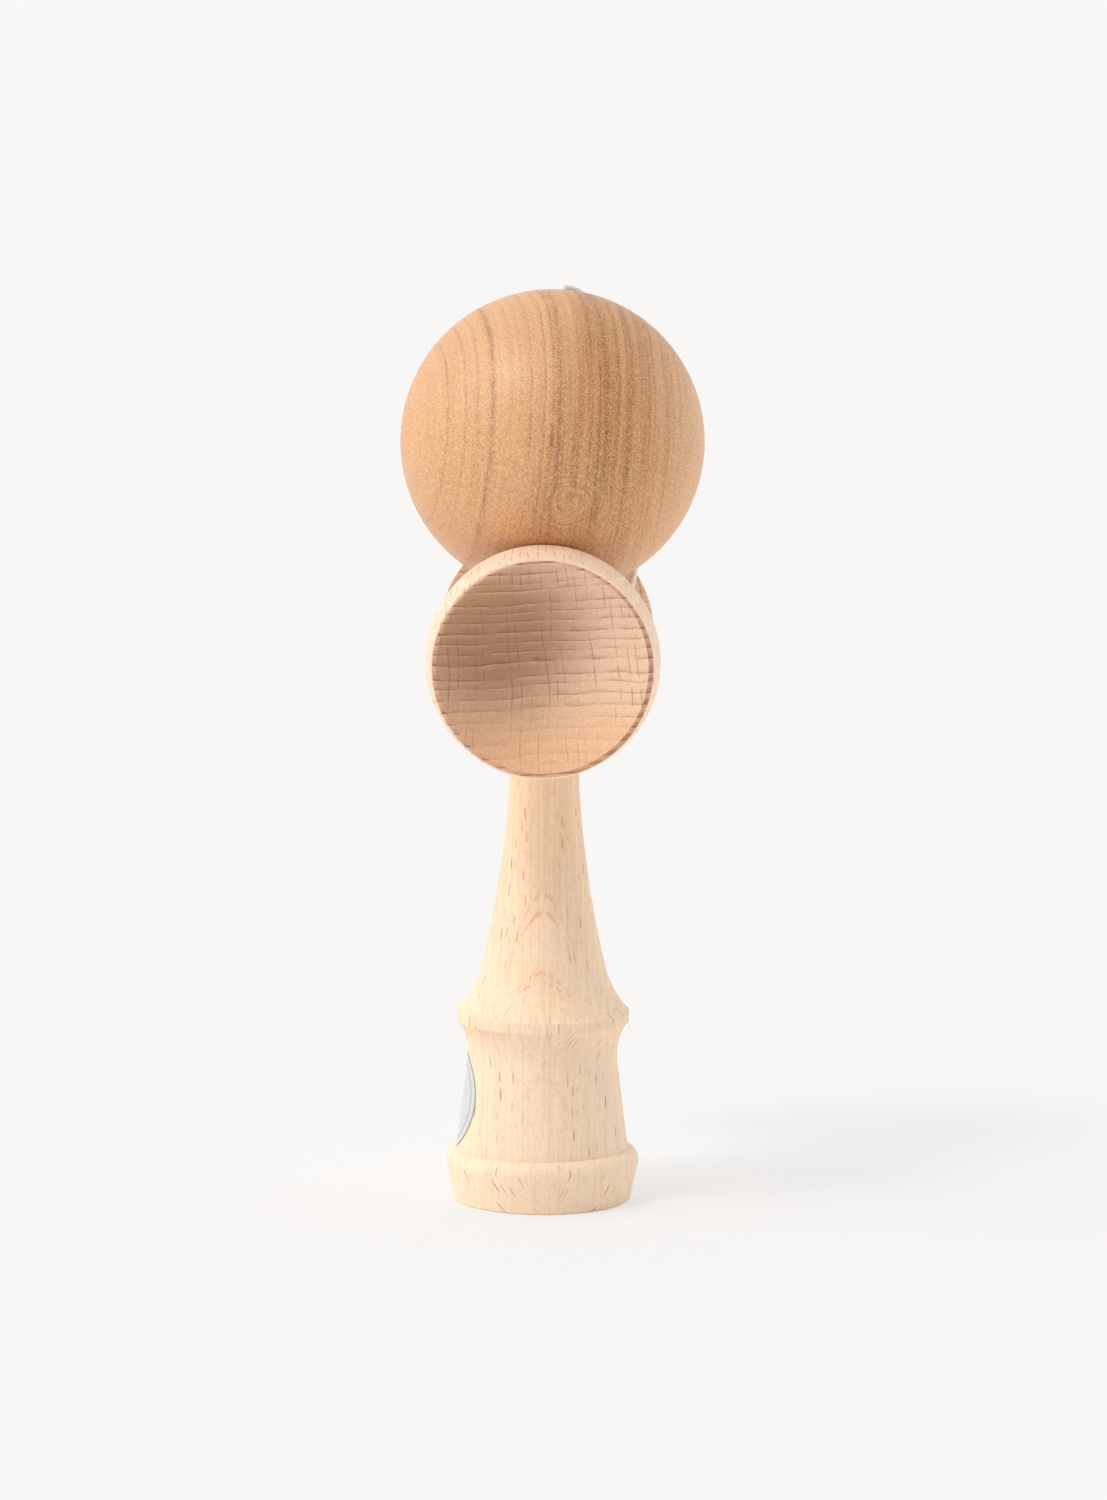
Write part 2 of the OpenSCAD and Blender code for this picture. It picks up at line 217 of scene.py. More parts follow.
def laid_reach(along, angle):
    """How far a twisted string's surface stands from its middle, as a share of its radius."""
    strand = abs(cos(STRANDS / 2 * (angle - 2 * pi * along / LAY)))
    return 1 - GROOVE + GROOVE * strand**LOBE


def laid_string(name, line, radius):
    """A closed mesh of twisted string along a line."""
    mesh, made = bpy.data.meshes.new(name), bmesh.new()
    rings, along, side = [], 0, None
    for i, point in enumerate(line):
        way = (line[min(i + 1, len(line) - 1)] - line[max(i - 1, 0)]).normalized()
        side = way.orthogonal() if side is None else side
        side = (side - side.dot(way) * way).normalized()
        other = way.cross(side)
        along += (point - line[i - 1]).length if i else 0
        ring = []
        for a in (2 * pi * k / RING_SIDES for k in range(RING_SIDES)):
            reach = radius * laid_reach(along, a)
            ring.append(made.verts.new((point + reach * (cos(a) * side + sin(a) * other)) * MM))
        rings.append(ring)
    for first, second in zip(rings, rings[1:]):
        for k in range(RING_SIDES):
            n = (k + 1) % RING_SIDES
            made.faces.new((first[k], first[n], second[n], second[k]))
    made.faces.new(rings[0][::-1])
    made.faces.new(rings[-1])
    for face in made.faces:
        face.smooth = True
    made.to_mesh(mesh)
    made.free()
    return in_scene(name, mesh)


string = laid_string("string", string_line, STRING_D / 2)
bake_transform(string)
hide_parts("string_root", "string_winding", "string_rise", "string_in_ball")
print("string mesh:", len(string.data.vertices), "points")

# %% [markdown]
# ## Stopper knots
#
# A stopper knot at each end is an overhand knot pulled tight. A sphere would do while it is
# hidden, but the knots come into sight when the pieces are parted. An overhand knot with its ends
# joined is a trefoil, which has a short formula, so each knot is a tight trefoil of the same
# twisted string.

# %% Stopper knots
KNOT_D, KNOT_STRING_R, KNOT_STEPS = 2.8, 0.5, 120
TREFOIL_REACH = 3


def trefoil(t):
    return Vector((sin(t) + 2 * sin(2 * t), cos(t) - 2 * cos(2 * t), -sin(3 * t)))


def stopper_knot(name, middle, way, node, body):
    size = (KNOT_D / 2 - KNOT_STRING_R) / TREFOIL_REACH
    turn = Vector((0, 0, 1)).rotation_difference(way)
    angles = [2 * pi * i / KNOT_STEPS for i in range(KNOT_STEPS + 1)]
    line = [middle + turn @ (size * trefoil(t)) for t in angles]
    knot = laid_string(name, line, KNOT_STRING_R)
    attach(knot, body)
    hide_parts(node)
    return knot


cup_knot = stopper_knot("cup_stopper_knot", anchor, Vector((1, 0, 0)), "anchor_knot", "cups")
ball_knot = stopper_knot("ball_stopper_knot", bead_knot, ball_axis, "bead_knot", "string_end")
print("knots:", cup_knot.name, ball_knot.name)

# %% [markdown]
# ## Smooth turning
#
# A lathe leaves one flowing surface. The imported solids are exact, but each short cone of a turned
# profile comes with its own normals, which would show as faint bands in raking light. The mesh
# itself stays as it is imported, so a geometry nodes modifier welds the bands and shades across
# every edge that is nearly flat. It moves nothing.

# %% Modifier that shades a turned piece smoothly
WELD = 0.002
SHARP_EDGE = radians(28)
TURNED = ("handle", "cup_piece", "ball", "bead")


def turned_shading():
    tree = bpy.data.node_groups.new("turned_shading", "GeometryNodeTree")
    for way in ("INPUT", "OUTPUT"):
        tree.interface.new_socket("Geometry", in_out=way, socket_type="NodeSocketGeometry")
    into, out = tree.nodes.new("NodeGroupInput"), tree.nodes.new("NodeGroupOutput")
    bare = tree.nodes.new("GeometryNodeRemoveAttribute")
    bare.inputs["Name"].default_value = "custom_normal"
    weld = tree.nodes.new("GeometryNodeMergeByDistance")
    weld.inputs["Distance"].default_value = WELD * MM
    faces = tree.nodes.new("GeometryNodeSetShadeSmooth")
    edges = tree.nodes.new("GeometryNodeSetShadeSmooth")
    edges.domain = "EDGE"
    angle = tree.nodes.new("GeometryNodeInputMeshEdgeAngle")
    flat = tree.nodes.new("FunctionNodeCompare")
    flat.operation = "LESS_THAN"
    flat.inputs["B"].default_value = SHARP_EDGE
    tree.links.new(angle.outputs["Unsigned Angle"], flat.inputs["A"])
    tree.links.new(flat.outputs["Result"], edges.inputs["Shade Smooth"])
    chain = [into, bare, weld, faces, edges, out]
    for before, after in zip(chain, chain[1:]):
        tree.links.new(before.outputs["Geometry"], after.inputs["Geometry"])
    return tree


shading = turned_shading()
for name in TURNED:
    nodes[name].modifiers.new("turned_shading", "NODES").node_group = shading
print("smooth shading on", *TURNED)

# %% [markdown]
# ## Short words for shader nodes
#
# A material is a wiring diagram, and written out call by call it hides its own idea. These helpers
# add a node, set it or wire it in one line, so that each finish below reads like its description.
# Colours are written as they look on a screen, from 0 to 255, and turned into linear light here.

# %% Colours and single nodes
def colour(*screen):
    """Linear light for a colour of a screen, by the sRGB curve."""
    shares = [value / 255 for value in screen]
    linear = [c / 12.92 if c <= 0.04045 else ((c + 0.055) / 1.055) ** 2.4 for c in shares]
    return (*linear, 1)


def feed(tree, socket, value):
    """Wires a value into a socket, or sets the socket if the value is plain."""
    if isinstance(value, bpy.types.NodeSocket):
        tree.links.new(value, socket)
    else:
        socket.default_value = value


def add(tree, kind, inputs=None, **settings):
    made = tree.nodes.new("ShaderNode" + kind)
    for name, value in settings.items():
        setattr(made, name, value)
    for name, value in (inputs or {}).items():
        feed(tree, made.inputs[name], value)
    return made


def maths(tree, operation, *terms):
    return add(tree, "Math", dict(enumerate(terms)), operation=operation).outputs[0]


def vectors(tree, operation, *terms):
    made = add(tree, "VectorMath", dict(enumerate(terms)), operation=operation)
    return made.outputs["Value" if operation in ("LENGTH", "DOT_PRODUCT") else "Vector"]


def split(tree, vector):
    return add(tree, "SeparateXYZ", {0: vector}).outputs


print("a screen's 128 is", round(colour(128, 128, 128)[0], 3), "in linear light")

# %% Masks and washes
MIX_SHARE, MIX_FIRST, MIX_SECOND, MIX_COLOUR = 0, 6, 7, 2


def step(tree, value, low, high):
    """0 at low, 1 at high and a smooth rise between; low may be above high."""
    wanted = {"Value": value, "From Min": low, "From Max": high}
    return add(tree, "MapRange", wanted, interpolation_type="SMOOTHSTEP").outputs["Result"]


def times(tree, *factors):
    """The product of masks and plain numbers."""
    product = factors[0]
    for factor in factors[1:]:
        product = maths(tree, "MULTIPLY", product, factor)
    return product


def between(tree, mask, none, full):
    """A value that goes from none, where the mask is 0, to full, where it is 1."""
    return maths(tree, "MULTIPLY_ADD", mask, full - none, none)


def mixed(tree, share, first, second):
    wanted = {MIX_SHARE: share, MIX_FIRST: first, MIX_SECOND: second}
    return add(tree, "Mix", wanted, data_type="RGBA").outputs[MIX_COLOUR]


def washes(tree, base, *layers):
    """Colours laid over a base in turn: each is a mask, how much of it to use, and a colour."""
    for mask, share, tone in layers:
        base = mixed(tree, times(tree, mask, share), base, tone)
    return base


print("masks can be stepped, multiplied and laid over a colour")

# %% Groups of nodes
def node_group(name, inputs, outputs):
    """A new shader group, with its input sockets by name and the sockets for its results."""
    kinds = {0: "NodeSocketFloat", 3: "NodeSocketVector"}
    tree = bpy.data.node_groups.new(name, "ShaderNodeTree")
    for label, value in inputs.items():
        kind = kinds[len(value) if isinstance(value, tuple) else 0]
        tree.interface.new_socket(label, in_out="INPUT", socket_type=kind).default_value = value
    for label, size in outputs.items():
        tree.interface.new_socket(label, in_out="OUTPUT", socket_type=kinds[size])
    into, out = tree.nodes.new("NodeGroupInput"), tree.nodes.new("NodeGroupOutput")
    return tree, into.outputs, out.inputs


def place(tree, group, **inputs):
    """A group in a material, with its own values; mean_radius fills the socket Mean Radius."""
    made = add(tree, "Group", node_tree=group)
    for name, value in inputs.items():
        feed(tree, made.inputs[name.replace("_", " ").title()], value)
    return made.outputs


print("groups can be made and placed")

# %% [markdown]
# ## Wood grows round a pith
#
# Painted stripes never look like wood, because grain is solid: a ring is a cylinder about the
# pith, and what shows is where the lathe cut through it. So each piece of wood keeps the place
# that it had in its log. This group turns a place in the log into its distance from the pith, its
# distance round it and its distance along it, after bending the log a little, as no tree is
# straight.

# %% Group: place in the log
NOISE_MIDDLE = 0.5
WOBBLE_DETAIL = 3.0


def log_frame_group():
    inputs = {"Place": (0, 0, 0), "Wobble": 0.5, "Wobble Size": 20.0, "Mean Radius": 50.0}
    outputs = {"Grain": 3, "Radius": 0, "Around": 0, "Along": 0}
    tree, given, result = node_group("log_frame", inputs, outputs)
    scale = maths(tree, "DIVIDE", 1.0, given["Wobble Size"])
    wanted = {"Vector": given["Place"], "Scale": scale, "Detail": WOBBLE_DETAIL}
    noise = add(tree, "TexNoise", wanted).outputs["Color"]
    push = vectors(tree, "SUBTRACT", noise, (NOISE_MIDDLE,) * 3)
    scaled = add(tree, "VectorMath", {0: push, "Scale": given["Wobble"]}, operation="SCALE")
    bent = split(tree, vectors(tree, "ADD", given["Place"], scaled.outputs["Vector"]))
    spoke = add(tree, "CombineXYZ", {"X": bent["X"], "Y": bent["Y"]}).outputs[0]
    radius = vectors(tree, "LENGTH", spoke)
    around = times(tree, maths(tree, "ARCTAN2", bent["Y"], bent["X"]), given["Mean Radius"])
    grain = add(tree, "CombineXYZ", {"X": radius, "Y": around, "Z": bent["Z"]}).outputs[0]
    made = {"Grain": grain, "Radius": radius, "Around": around, "Along": bent["Z"]}
    for label, value in made.items():
        feed(tree, result[label], value)
    return tree


LOG = log_frame_group()
print("group", LOG.name)

# %% A surface's own place, and its place in a log
def own_place(tree, middle=(0, 0, 0), turn=Matrix.Identity(3)):
    """The surface's own place in millimetres, counted from a middle along turned axes."""
    wanted = {"Vector": add(tree, "TexCoord").outputs["Object"], "Scale": (1 / MM,) * 3,
              "Rotation": turn.to_euler(), "Location": -(turn @ Vector(middle))}
    return add(tree, "Mapping", wanted).outputs["Vector"]


def log_place(tree, out, grain, pith):
    """The same in a log with this pith, this way along the grain and this way out to the bark."""
    grain = Vector(grain).normalized()
    out = (Vector(out) - Vector(out).dot(grain) * grain).normalized()
    return own_place(tree, pith, Matrix((out, grain.cross(out), grain)))


print("a place in a log is out from the pith, round it and along it")

# %% [markdown]
# ## Growth rings
#
# Each year adds a pale band that darkens towards its end and then stops at a sharp line. A wave
# texture would repeat too evenly. The group counts the years from the pith outwards and gives the
# slow darkening and the line by itself. The years are not equally wide, so a slow noise shifts
# them.

# %% Group: growth rings
SHIFT_SCALE, SHIFT_DETAIL = 0.37, 1.0


def growth_rings_group():
    inputs = {"Radius": 0.0, "Width": 3.0, "Line": 0.1, "Uneven": 0.6}
    tree, given, result = node_group("growth_rings", inputs, {"Fade": 0, "Line": 0})
    years = maths(tree, "DIVIDE", given["Radius"], given["Width"])
    wanted = {"W": years, "Scale": SHIFT_SCALE, "Detail": SHIFT_DETAIL}
    slow = add(tree, "TexNoise", wanted, noise_dimensions="1D").outputs[0]
    shift = times(tree, maths(tree, "SUBTRACT", slow, NOISE_MIDDLE), given["Uneven"])
    fade = maths(tree, "FRACT", maths(tree, "ADD", years, shift))
    line_start = maths(tree, "SUBTRACT", 1.0, given["Line"])
    feed(tree, result["Fade"], fade)
    feed(tree, result["Line"], step(tree, fade, line_start, 1.0))
    return tree


RINGS = growth_rings_group()
print("group", RINGS.name)

# %% [markdown]
# ## The end of one year
#
# Where few and uneven years show, they are better placed one by one. This group darkens slowly
# towards one depth in the log, has a dark core there, and stops soon after it. Several of them are
# then added up, each with its own depth, darkness, rise and fall.

# %% Group: the end of one year
CORE_POWER, CORE_SHARE, SLOPE_SHARE = 8.0, 0.7, 0.3


def year_end_group():
    inputs = {"Depth": 0.0, "At": 0.0, "Rise": 1.0, "Fall": 0.3}
    tree, given, result = node_group("year_end", inputs, {"Mask": 0})
    begin = maths(tree, "SUBTRACT", given["At"], given["Rise"])
    stop = maths(tree, "ADD", given["At"], given["Fall"])
    rise = step(tree, given["Depth"], begin, given["At"])
    fall = step(tree, given["Depth"], stop, given["At"])
    core = times(tree, maths(tree, "POWER", rise, CORE_POWER), CORE_SHARE)
    shade = maths(tree, "MULTIPLY_ADD", rise, SLOPE_SHARE, core)
    feed(tree, result["Mask"], times(tree, shade, fall))
    return tree


def year_ends(tree, depth, years):
    """The ends of several years: each is a depth, how dark it is, its rise and its fall."""
    ends = 0.0
    for at, dark, rise, fall in years:
        year = place(tree, YEAR_END, depth=depth, at=at, rise=rise, fall=fall)
        ends = maths(tree, "MULTIPLY_ADD", year["Mask"], dark, ends)
    return ends


YEAR_END = year_end_group()
print("group", YEAR_END.name)

# %% [markdown]
# ## Ray flecks
#
# Beech is known by its rays: thin ribbons that run from the pith outwards. On the side of the wood
# their cut ends are short dark dashes along the grain, and on end grain they are fine spokes. Two
# patterns could be painted, but they would not meet at an edge. The group lays a grid of cells
# round and along the log, puts a spindle somewhere in some of them, and lets it run through the
# wood along the radius, so both looks come from one pattern.

# %% Group: ray flecks
FLECK_SHORTEST = 0.4
FLECK_SOFT = 0.4
ROOM_ROUND, ROOM_ALONG = 0.7, 0.3


def ray_flecks_group():
    inputs = {"Around": 0.0, "Along": 0.0, "Cell": (1, 4, 0), "Fleck": (0.1, 1.2, 0),
              "Share": 0.5, "Seed": 0.0}
    tree, given, result = node_group("ray_flecks", inputs, {"Mask": 0, "Tint": 0})
    cell, fleck = split(tree, given["Cell"]), split(tree, given["Fleck"])
    u = maths(tree, "DIVIDE", given["Around"], cell["X"])
    column = maths(tree, "FLOOR", u)
    lot = add(tree, "CombineXYZ", {"X": column, "Y": given["Seed"]}).outputs[0]
    slip = add(tree, "TexWhiteNoise", {"Vector": lot}, noise_dimensions="2D").outputs["Value"]
    v = maths(tree, "ADD", maths(tree, "DIVIDE", given["Along"], cell["Y"]), slip)
    row = maths(tree, "FLOOR", v)
    lot = add(tree, "CombineXYZ", {"X": column, "Y": row, "Z": given["Seed"]}).outputs[0]
    drawn = add(tree, "TexWhiteNoise", {"Vector": lot}, noise_dimensions="3D").outputs
    chance = add(tree, "SeparateColor", {0: drawn["Color"]}).outputs
    length = times(tree, fleck["Y"], between(tree, drawn["Value"], FLECK_SHORTEST, 1.0))
    spread = []
    for part, size, half, draw, room in (
        (u, cell["X"], fleck["X"], chance[0], ROOM_ROUND),
        (v, cell["Y"], length, chance[1], ROOM_ALONG),
    ):
        middle = maths(tree, "MULTIPLY_ADD", draw, room, (1 - room) / 2)
        away = maths(tree, "SUBTRACT", maths(tree, "FRACT", part), middle)
        share = maths(tree, "DIVIDE", times(tree, away, size), half)
        spread.append(times(tree, share, share))
    shape = step(tree, maths(tree, "ADD", *spread), 1.0, FLECK_SOFT)
    there = maths(tree, "LESS_THAN", chance[2], given["Share"])
    feed(tree, result["Mask"], times(tree, shape, there))
    feed(tree, result["Tint"], drawn["Value"])
    return tree


def flecks(tree, log, **wanted):
    return place(tree, FLECKS, around=log["Around"], along=log["Along"], **wanted)


FLECKS = ray_flecks_group()
print("group", FLECKS.name)

# %% [markdown]
# ## Fibre and figure
#
# Everything finer is noise stretched the way wood is: fibres and pores are long along the grain
# and thin across it, and the shimmer of cherry comes from ray sheets that are thin round the log.
# One group divides the place in the log by the size of such a cell, so its three numbers choose
# which.

# %% Group: stretched figure
def figure_group():
    inputs = {"Grain": (0, 0, 0), "Cell": (0.2, 0.2, 2), "Detail": 1.0, "Soft": 0.5, "Middle": 0.5}
    tree, given, result = node_group("figure", inputs, {"Value": 0})
    fine = vectors(tree, "DIVIDE", given["Grain"], given["Cell"])
    wanted = {"Vector": fine, "Scale": 1.0, "Detail": given["Detail"]}
    noise = add(tree, "TexNoise", wanted).outputs[0]
    half = times(tree, given["Soft"], 0.5)
    low = maths(tree, "SUBTRACT", given["Middle"], half)
    high = maths(tree, "ADD", given["Middle"], half)
    feed(tree, result["Value"], step(tree, noise, low, high))
    return tree


def figure(tree, grain, **wanted):
    return place(tree, FIGURE, grain=grain, **wanted)["Value"]


FIGURE = figure_group()
print("group", FIGURE.name)

# %% [markdown]
# ## Single marks
#
# Wood has its odd spots, such as a fleck of pith in the ball and a dark speck in the big bowl.
# They have no depth to model, so a group shades one soft spot of a given size at a given place.

# %% Group: one small mark
MARK_SOFT = 0.2


def mark_group():
    inputs = {"Place": (0, 0, 0), "At": (0, 0, 0), "Size": (1, 1, 1)}
    tree, given, result = node_group("mark", inputs, {"Mask": 0})
    away = vectors(tree, "SUBTRACT", given["Place"], given["At"])
    away = vectors(tree, "LENGTH", vectors(tree, "DIVIDE", away, given["Size"]))
    feed(tree, result["Mask"], step(tree, away, 1.0, MARK_SOFT))
    return tree


MARK = mark_group()
print("group", MARK.name)

# %% [markdown]
# ## From nodes to a finish
#
# A finish on the real toy is colour, gloss and a little relief. All finishes start from the same
# shader, so three helpers make a material, raise or press its surface, and put it on a piece. What
# is the same all over the surface is set on the shader itself, because an export keeps that.

# %% Materials and pieces
def new_material(name, **sockets):
    """A material, its node tree and its shader, with plain values set on the shader."""
    material = bpy.data.materials.new(name)
    material.use_nodes = True
    shader = material.node_tree.nodes["Principled BSDF"]
    for label, value in sockets.items():
        label = label.replace("_", " ").title().replace("Ior", "IOR")
        shader.inputs[label].default_value = value
    return material, material.node_tree, shader


def emboss(tree, shader, height, most):
    """Raises the surface by a height, so many millimetres at most; a minus presses it in."""
    bump = add(tree, "Bump", {"Height": height, "Distance": most * MM})
    feed(tree, shader.inputs["Normal"], bump.outputs["Normal"])


def dress(piece, material):
    if not piece.material_slots:
        piece.data.materials.append(material)
    piece.material_slots[0].material = material


print("materials can be made")

# %% [markdown]
# ## The beech handle
#
# The handle is pale sanded beech with its grain upright. Its streaks could be painted down the
# front, but then they would not run on over the base, so it is cut from a log whose pith lies far
# behind it. The streaks run along the grain. The wood is painted darker towards the neck, as
# painted shade from the cups above it, so it is paler towards the base.

# %% The handle in its log
PITH_BEHIND = 150.4

handle_beech, tree, shader = new_material("beech_handle", specular_ior_level=0.5)
where = log_place(tree, out=(0, -1, 0), grain=(0, 0.03, 1), pith=(0, PITH_BEHIND, 46))
log = place(tree, LOG, place=where, wobble=0.6, wobble_size=14, mean_radius=160)
spot = split(tree, own_place(tree))
pale, warm, pore = colour(244, 222, 194), colour(235, 204, 169), colour(216, 172, 134)
streaks = figure(tree, log["Grain"], cell=(3, 0.7, 60), detail=2, soft=0.6)
# Painted shade: the wood darkens from the base up to the neck, for the shade under the cups.
painted_shade_at_neck = between(tree, step(tree, spot["Z"], 5, 90), 0.35, -0.25)
wood = mixed(tree, maths(tree, "ADD", streaks, painted_shade_at_neck), warm, pale)
print("handle: streaks of pale and warm beech")

# %% [markdown]
# ### Flames and fibres
#
# The rings lie almost flat behind the front face, so they only show where the flare and the grip
# cut across them, as broken orange arches near the middle. They could be drawn as arcs, but placed
# as years in the log they bend by themselves. Each year has a depth in front of the handle's axis
# and a darkness. Fine fibres and a speckle lie over them.

# %% Flames and fibres of the handle
HANDLE_YEARS = [(9.7, 1), (10.2, 1), (12.2, 0.8), (12.6, 1), (13.2, 0.4), (14.3, 0.35)]
FLAME_RISE, FLAME_FALL = 0.35, 0.15

late = colour(228, 158, 104)
depth = maths(tree, "SUBTRACT", log["Radius"], PITH_BEHIND)
ends = year_ends(tree, depth, [(*year, FLAME_RISE, FLAME_FALL) for year in HANDLE_YEARS])
blotch = figure(tree, log["Grain"], cell=(2, 0.9, 2.2), detail=2, soft=0.16, middle=0.49)
near_middle = step(tree, maths(tree, "ABSOLUTE", spot["X"]), 8, 3)
flames = times(tree, ends, blotch, near_middle)
fibre = figure(tree, log["Grain"], cell=(0.2, 0.2, 2), detail=2, soft=0.5)
speckle = figure(tree, log["Grain"], cell=(0.4, 0.3, 0.4), detail=2, soft=0.4)
wood = washes(tree, wood, (flames, 0.7, late), (fibre, 0.14, pore), (speckle, 0.22, pore))
print("handle:", len(HANDLE_YEARS), "years end near its front")

# %% [markdown]
# ### Flecks that fan out
#
# The dark flecks of the real handle fan outwards on its flares. With the log's own pith they would
# all stand upright, so they are laid about a line of their own, just under the front of the
# handle. Round a line so near, an angle widens quickly, so each fleck is narrowed by its distance.
# Over the line itself the flecks thin out, in a strip that is narrower on the neck.

# %% Flecks of the handle
FLECK_WIDTH = 0.95

dash, dark_dash = colour(214, 164, 124), colour(174, 116, 86)
fan_line = log_place(tree, out=(0, 1, 0), grain=(0, 0.137, 0.99), pith=(0, -5.5, 80))
fan = place(tree, LOG, place=fan_line, wobble=0.8, wobble_size=14, mean_radius=9)
thin = maths(tree, "DIVIDE", FLECK_WIDTH, fan["Radius"])
dash_size = add(tree, "CombineXYZ", {"X": thin, "Y": 1.6}).outputs[0]
hair_size = add(tree, "CombineXYZ", {"X": times(tree, thin, 0.5), "Y": 0.8}).outputs[0]
dashes = flecks(tree, fan, cell=(1.0, 4.4, 0), fleck=dash_size, share=0.54, seed=1)
hairs = flecks(tree, fan, cell=(0.5, 2.2, 0), fleck=hair_size, share=0.45, seed=2)["Mask"]
narrowing = between(tree, step(tree, spot["Z"], 45, 70), 1.0, 1.6)
clear = step(tree, times(tree, fan["Radius"], narrowing), 2.6, 6.5)
deep = times(tree, dashes["Tint"], dashes["Tint"])
shown = times(tree, dashes["Mask"], between(tree, clear, 0.1, 1.0))
shown = times(tree, shown, between(tree, deep, 0.32, 0.82))
dash_tone = mixed(tree, deep, dash, dark_dash)
wood = washes(tree, wood, (hairs, 0.35, dash), (shown, 1, dash_tone))

feed(tree, shader.inputs["Base Color"], wood)
feed(tree, shader.inputs["Roughness"], between(tree, fibre, 0.5, 0.64))
emboss(tree, shader, maths(tree, "ADD", fibre, shown), -0.015)
dress(nodes["handle"], handle_beech)
print("handle:", handle_beech.name)

# %% [markdown]
# ## The beech cups
#
# The cup piece is turned with the grain along it, so the outside is side grain, as pale as the
# handle, and each bowl is end grain. Two materials would leave a hard seam between them. One log
# holds both: its pith lies far above, its rings cross the bowls one above the other, and its rays
# are spokes in the bowls and short ticks outside.

# %% The cup piece in its log
CUPS_Z = anchor.z
PITH_ABOVE = 220

cups_beech, tree, shader = new_material("beech_cups", specular_ior_level=0.3)
where = log_place(tree, out=(0, 0, -1), grain=(0, 1, 0), pith=(-12, 0, CUPS_Z + PITH_ABOVE))
log = place(tree, LOG, place=where, wobble=3.2, wobble_size=20, mean_radius=PITH_ABOVE)
rings = place(tree, RINGS, radius=log["Radius"], width=2.1, line=0.2, uneven=1.0)
spokes = flecks(tree, log, cell=(1.7, 7, 0), fleck=(0.17, 3.8, 0), share=0.85, seed=3)["Mask"]
hairs = flecks(tree, log, cell=(0.7, 3, 0), fleck=(0.07, 1.2, 0), share=0.45, seed=4)["Mask"]
fibre = figure(tree, log["Grain"], cell=(0.28, 0.28, 2.4), detail=2, soft=0.4)
patch = figure(tree, log["Grain"], cell=(1.6, 4, 30), detail=2, soft=0.5)
strong = figure(tree, log["Grain"], cell=(1.6, 4, 40), detail=3, soft=0.4)
gaps = figure(tree, log["Grain"], cell=(4, 1.2, 30), detail=2, soft=0.2, middle=0.47)
grit = figure(tree, log["Grain"], cell=(0.2, 0.2, 1), detail=1, soft=0.2, middle=0.6)
notch = figure(tree, log["Grain"], cell=(0.4, 3, 30), detail=1, soft=0.16)
print("cup piece: pith", PITH_ABOVE, "mm above its middle")

# %% [markdown]
# ### Side grain outside
#
# Outside, the wood is pale, with fine fibres, hairs and ticks. Ticks of their own could be placed
# more freely, but on the real wood they meet the spokes at the lip, so they are the same flecks,
# fainter on the right. The heights and widths that this finish and the next ones fade over are
# counted from the middle of the cup piece.

# %% Side grain of the cup piece
here = own_place(tree, middle=(0, 0, CUPS_Z))
spot = split(tree, here)
right = step(tree, spot["X"], 0, 16)
upper = step(tree, spot["Z"], 2, 18)
lower = step(tree, spot["Z"], -2, -16)

pale, warm, dash = colour(244, 219, 193), colour(238, 207, 177), colour(186, 130, 100)
ticks = times(tree, spokes, between(tree, right, 0.55, 0.2))
side = mixed(tree, patch, warm, pale)
side = washes(tree, side, (fibre, 0.15, dash), (hairs, 0.2, dash), (ticks, 1, dash))
print("cup piece: pale side grain")

# %% [markdown]
# ### End grain in the bowls
#
# End grain is browner, because open fibres drink in light. The bowl is darkest round a heart at
# the upper left and goes over into paler sap wood further from it. This is partly the wood's own
# heart and sap, and partly painted shade where the left rim shades the bowl and painted light where
# the right wall is lit. Each ring darkens to its line, and the soft early wood after the line is
# scraped lower than the hard late wood, so every ring is a small step that catches the light. Such
# steps are too fine to model, so the ring's own fade gives both the colour and the bump, and the
# light that each step catches is also painted as a pale band after the line. Rings and spokes are
# fainter in the lower part of the bowl.

# %% End grain of the bowls
HEART_AND_SHADE = Vector((-8.5, 0, 5.5))

heart, sap, low_sap = colour(178, 136, 102), colour(236, 201, 172), colour(234, 186, 145)
spoke, pore, glint = colour(136, 94, 70), colour(150, 106, 78), colour(240, 208, 180)
line = colour(122, 76, 52)
# Painted light and shade: darker round the heart at the upper left, partly heart wood and partly
# painted shade of the left rim, and paler further out, partly painted light on the lit right wall.
from_heart = vectors(tree, "MULTIPLY", vectors(tree, "SUBTRACT", here, HEART_AND_SHADE), (1, 0, 1))
sap_and_painted_light = step(tree, vectors(tree, "LENGTH", from_heart), 6, 24)
fresh = between(tree, step(tree, spot["Z"], -6, -12), 1.0, 0.25)
kept = between(tree, fresh, 0.4, 1.0)
rays = times(tree, spokes, gaps, kept)
ridge = times(tree, strong, kept)
late = times(tree, step(tree, rings["Fade"], 0.35, 1), patch, kept)
# Painted highlight: a pale band after each ring line, for the light that the ring's step catches.
painted_step_highlight = times(tree, step(tree, rings["Fade"], 0.4, 0), ridge)
lined = times(tree, rings["Line"], between(tree, strong, 0.08, 0.68))
lined = times(tree, lined, between(tree, sap_and_painted_light, 1.0, 0.5), fresh)
dusty = times(tree, grit, between(tree, sap_and_painted_light, 0.12, 0.38))
speck = place(tree, MARK, place=here, at=(-1.3, -26, 0.8), size=(0.9, 3, 0.4))["Mask"]
face = mixed(tree, sap_and_painted_light, heart, mixed(tree, lower, sap, low_sap))
face = washes(
    tree, face, (late, 0.35, pore), (painted_step_highlight, 0.4, glint), (fibre, 0.25, pore), (dusty, 1, glint),
    (hairs, 0.15, spoke), (rays, 0.45, spoke), (lined, 1, line), (speck, 0.6, line),
)
print("cup piece: brown end grain with its heart at", tuple(HEART_AND_SHADE))

